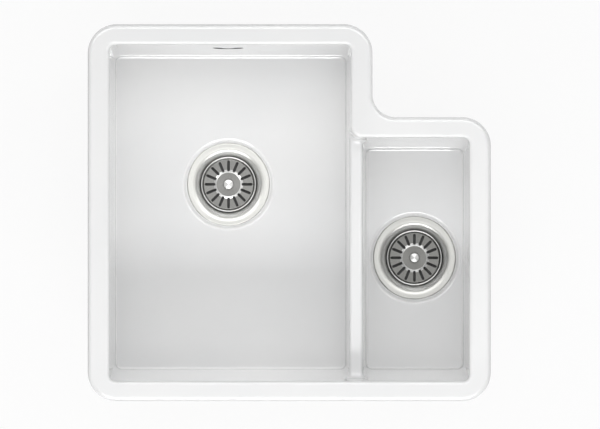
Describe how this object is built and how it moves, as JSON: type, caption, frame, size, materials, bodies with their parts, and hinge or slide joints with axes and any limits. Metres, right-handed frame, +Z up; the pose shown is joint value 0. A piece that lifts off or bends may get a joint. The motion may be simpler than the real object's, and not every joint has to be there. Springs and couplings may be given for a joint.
{
  "type": "undermount kitchen sink",
  "caption": "White glazed ceramic undermount kitchen sink, L-shaped, with a main bowl, a half bowl behind a low divider, an overflow and lift-out basket strainer wastes.",
  "frame": {"origin": "middle of the rim's outline, on the flat top face of the rim that meets the underside of the worktop", "axes": "+Z up, out of the bowls; +Y to the rear wall with the overflow; +X to the half bowl; at rest both baskets are pressed down"},
  "size_m": [0.54, 0.505, 0.2981],
  "materials": {
    "ceramic": "gloss",
    "steel": "satin",
    "bright_steel": "polished",
    "brass": "satin",
    "rubber": "matte",
    "body_plastic": "satin",
    "pipe_plastic": "satin",
    "washer_plastic": "matte"
  },
  "bodies": {
    "sink": {"sink_body": "ceramic", "overflow_sleeve": "rubber", "overflow_pipe": "pipe_plastic", "overflow_nut": "body_plastic", "overflow_cone_seal": "rubber", "clamp_screws": "steel", "screw_inserts": "brass", "main_strainer_cup": "steel", "main_flange_seal": "rubber", "main_body_seal": "rubber", "main_waste_body": "body_plastic", "half_strainer_cup": "steel", "half_flange_seal": "rubber", "half_body_seal": "rubber", "half_waste_body": "body_plastic"},
    "main_basket": {"main_basket_pan": "steel", "main_basket_knob": "bright_steel", "main_pan_washer": "washer_plastic", "main_basket_post": "bright_steel", "main_stopper": "rubber"},
    "half_basket": {"half_basket_pan": "steel", "half_basket_knob": "bright_steel", "half_pan_washer": "washer_plastic", "half_basket_post": "bright_steel", "half_stopper": "rubber"}
  },
  "joints": [
    {"name": "main_basket_lift", "type": "slide", "parent": "sink", "child": "main_basket", "axis": [0, 0, 1], "range_m": [0, 0.26]},
    {"name": "half_basket_lift", "type": "slide", "parent": "sink", "child": "half_basket", "axis": [0, 0, 1], "range_m": [0, 0.26]}
  ]
}
